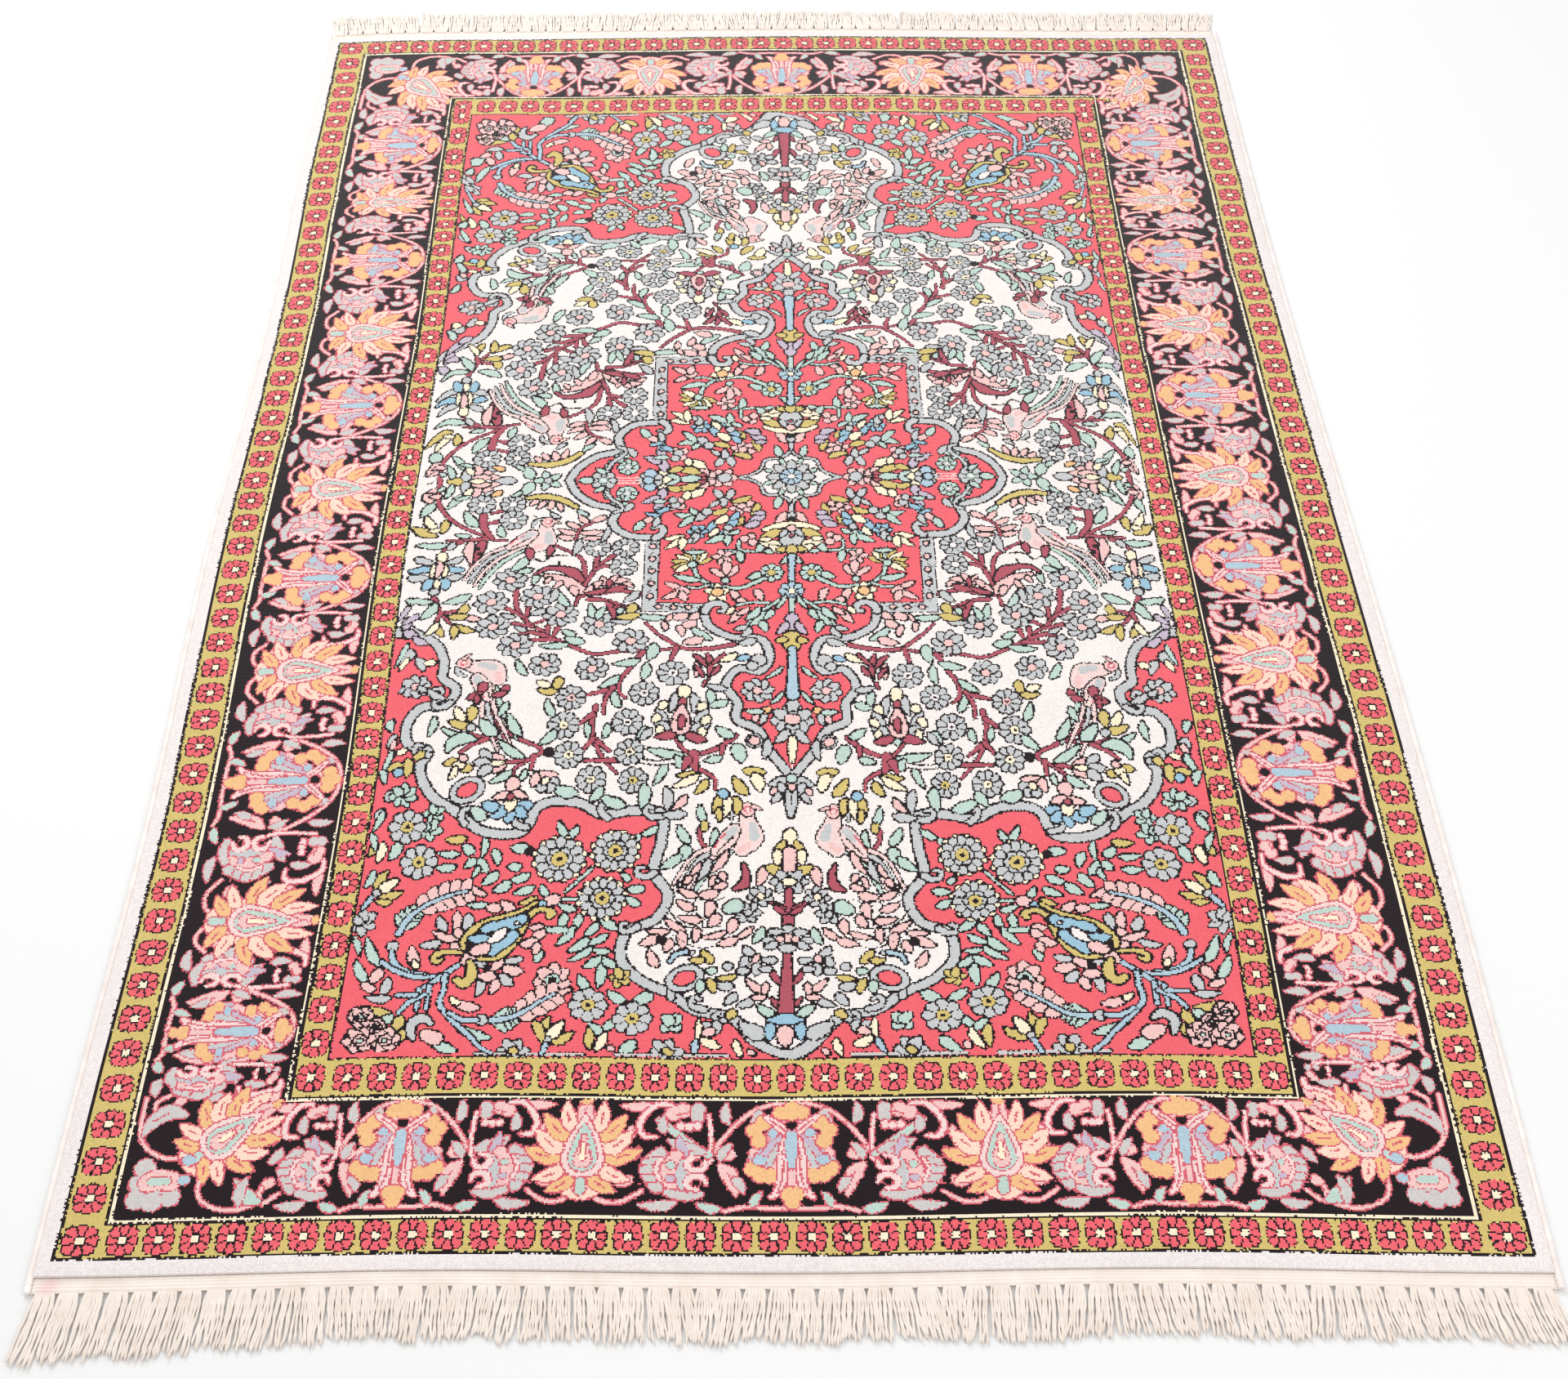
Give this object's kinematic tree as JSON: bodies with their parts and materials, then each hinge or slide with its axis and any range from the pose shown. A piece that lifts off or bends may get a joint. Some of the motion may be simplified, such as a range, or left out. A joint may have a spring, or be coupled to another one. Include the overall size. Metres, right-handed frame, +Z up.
{
  "type": "hand-knotted wool rug",
  "caption": "Rectangular pile rug lying flat, with a medallion field, flowered borders, plain edge band, whipped side cords and fringed ends; covers and softens a floor.",
  "frame": {"origin": "on the floor, under the middle of the rug's outer box, fringe included", "axes": "+X across the rug, +Y along it towards the far fringe, +Z up through the pile"},
  "size_m": [1.2304, 1.9464, 0.0076],
  "materials": {
    "wool_pile": "clipped wool pile, matt",
    "edge_cord": "whipped cream yarn",
    "cotton_warp": "plied undyed cotton"
  },
  "bodies": {
    "root": {"rug_body": "wool_pile", "selvedge_left": "edge_cord", "selvedge_right": "edge_cord", "fringe_near": "cotton_warp", "fringe_far": "cotton_warp"}
  },
  "joints": []
}
